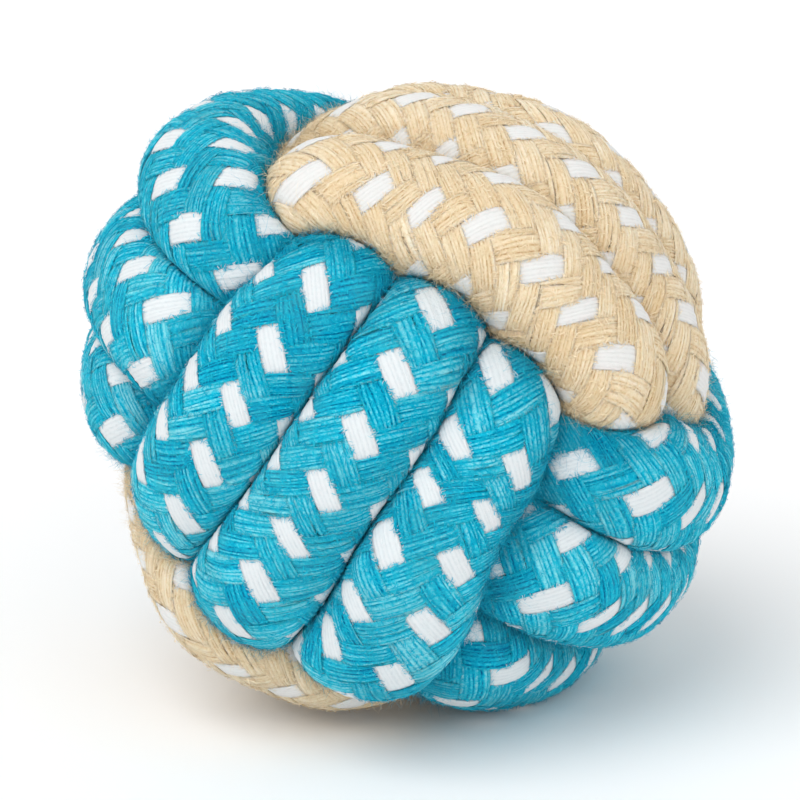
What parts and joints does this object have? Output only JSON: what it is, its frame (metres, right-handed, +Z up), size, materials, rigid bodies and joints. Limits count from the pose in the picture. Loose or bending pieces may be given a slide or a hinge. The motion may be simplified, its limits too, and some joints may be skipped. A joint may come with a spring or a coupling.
{
  "type": "rope ball dog toy",
  "caption": "Knotted rope ball dog toy: interlocked bands of braided blue and beige cotton rope with white flecks round a yarn heart.",
  "frame": {"origin": "under the middle of the ball, on the surface it rests on", "axes": "+Z up from the resting surface; -Y is the face with the second band's three strands, which the picture looks at; +X towards the blue first band on the lower right"},
  "size_m": [0.0708, 0.0702, 0.0657],
  "materials": {
    "blue_cover": "matte braided cotton, turquoise blue with white flecks",
    "beige_cover": "matte braided cotton, beige with white flecks",
    "core_yarn": "matte undyed cotton filler yarn",
    "whipping_thread": "matte cotton thread",
    "heart_yarn": "matte undyed cotton yarn"
  },
  "bodies": {
    "root": {"first_band_cover": "blue_cover", "first_band_core": "core_yarn", "first_band_start_whipping": "whipping_thread", "first_band_end_whipping": "whipping_thread", "second_band_cover": "blue_cover", "second_band_core": "core_yarn", "second_band_start_whipping": "whipping_thread", "second_band_end_whipping": "whipping_thread", "third_band_cover": "beige_cover", "third_band_core": "core_yarn", "third_band_start_whipping": "whipping_thread", "third_band_end_whipping": "whipping_thread", "heart_ball": "heart_yarn"}
  },
  "joints": []
}
